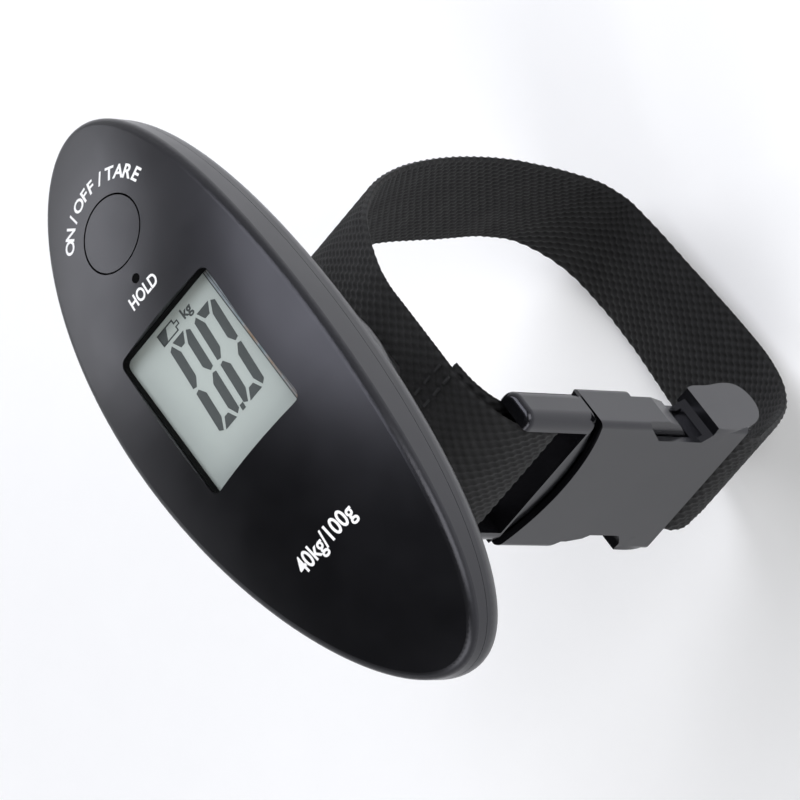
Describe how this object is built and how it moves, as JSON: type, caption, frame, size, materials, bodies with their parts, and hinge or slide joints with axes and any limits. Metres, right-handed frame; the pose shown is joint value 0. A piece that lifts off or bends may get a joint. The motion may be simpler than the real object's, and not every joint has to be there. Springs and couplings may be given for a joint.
{
  "type": "digital luggage scale",
  "caption": "Oval hand-held hanging scale with a display and button, a load cell inside, and a webbing loop closed by a side-release buckle.",
  "frame": {"origin": "middle of the oval housing on its parting line, where the hand closes around it", "axes": "+X across the oval, +Y along the oval towards the button, +Z out of the display face; the strap hangs towards -Z"},
  "size_m": [0.0486, 0.13, 0.1731],
  "materials": {
    "housing_black": "satin",
    "window_clear": "clear",
    "lcd_glass": "clear",
    "lcd_reflector": "satin",
    "contact_rubber": "matte",
    "frame_black": "matte",
    "button_black": "satin",
    "switch_black": "matte",
    "lens_dark": "gloss",
    "lamp_white": "gloss",
    "print_white": "matte",
    "board_green": "satin",
    "steel": "satin",
    "resin_black": "gloss",
    "ceramic_tan": "matte",
    "cell_steel": "bright",
    "contact_nickel": "bright",
    "bar_aluminium": "satin",
    "gauge_film": "satin",
    "webbing_black": "woven",
    "thread_black": "matte",
    "buckle_black": "satin"
  },
  "bodies": {
    "housing": {"front_cover": "housing_black", "rear_cover": "housing_black", "lcd_window": "window_clear", "lcd_panel": "lcd_glass", "lcd_reflector": "lcd_reflector", "contact_strips": "contact_rubber", "lcd_frame": "frame_black", "switch_base": "switch_black", "hold_lens": "lens_dark", "hold_lamp": "lamp_white", "circuit_board": "board_green", "board_screws": "steel", "chip_cap": "resin_black", "small_parts": "ceramic_tan", "crystal": "cell_steel", "coin_cell": "cell_steel", "positive_contact": "contact_nickel", "negative_contact": "contact_nickel", "case_screws": "steel", "load_cell": "bar_aluminium", "bar_screws": "steel", "strain_gauges": "gauge_film", "clevis": "steel", "clevis_screw": "steel", "swing_pin": "steel"},
    "button": {"button_cap": "button_black", "switch_plunger": "switch_black"},
    "battery_cap": {"battery_cap": "housing_black"},
    "strap": {"load_link": "steel", "clamp_plate": "steel", "rivets": "steel", "webbing": "webbing_black", "stitching": "thread_black", "buckle_female": "buckle_black", "buckle_male": "buckle_black"},
    "prong_right": {"prong_right": "buckle_black"},
    "prong_left": {"prong_left": "buckle_black"}
  },
  "joints": [
    {"name": "button_press", "type": "slide", "parent": "housing", "child": "button", "axis": [0, 0, -1], "range_m": [0, 0.0006], "stiffness_N_per_m": 1500},
    {"name": "battery_cap_turn", "type": "hinge", "parent": "housing", "child": "battery_cap", "pos_m": [0, -0.038, -0.0087], "axis": [0, 0, -1], "range_deg": [0, 90]},
    {"name": "strap_swing", "type": "hinge", "parent": "housing", "child": "strap", "pos_m": [0, 0.009, -0.014], "axis": [1, 0, 0], "range_deg": [-20, 20]},
    {"name": "prong_right_squeeze", "type": "hinge", "parent": "strap", "child": "prong_right", "pos_m": [0.0086, -0.0162, -0.0732], "axis": [0, 1, 0], "range_deg": [0, 8], "stiffness_Nm_per_rad": 0.4},
    {"name": "prong_left_squeeze", "type": "hinge", "parent": "strap", "child": "prong_left", "pos_m": [-0.0086, -0.0162, -0.0732], "axis": [0, 1, 0], "range_deg": [-8, 0], "stiffness_Nm_per_rad": 0.4}
  ],
  "couplings": [
    {"joint": "prong_left_squeeze", "follows": "prong_right_squeeze", "ratio": -1}
  ]
}
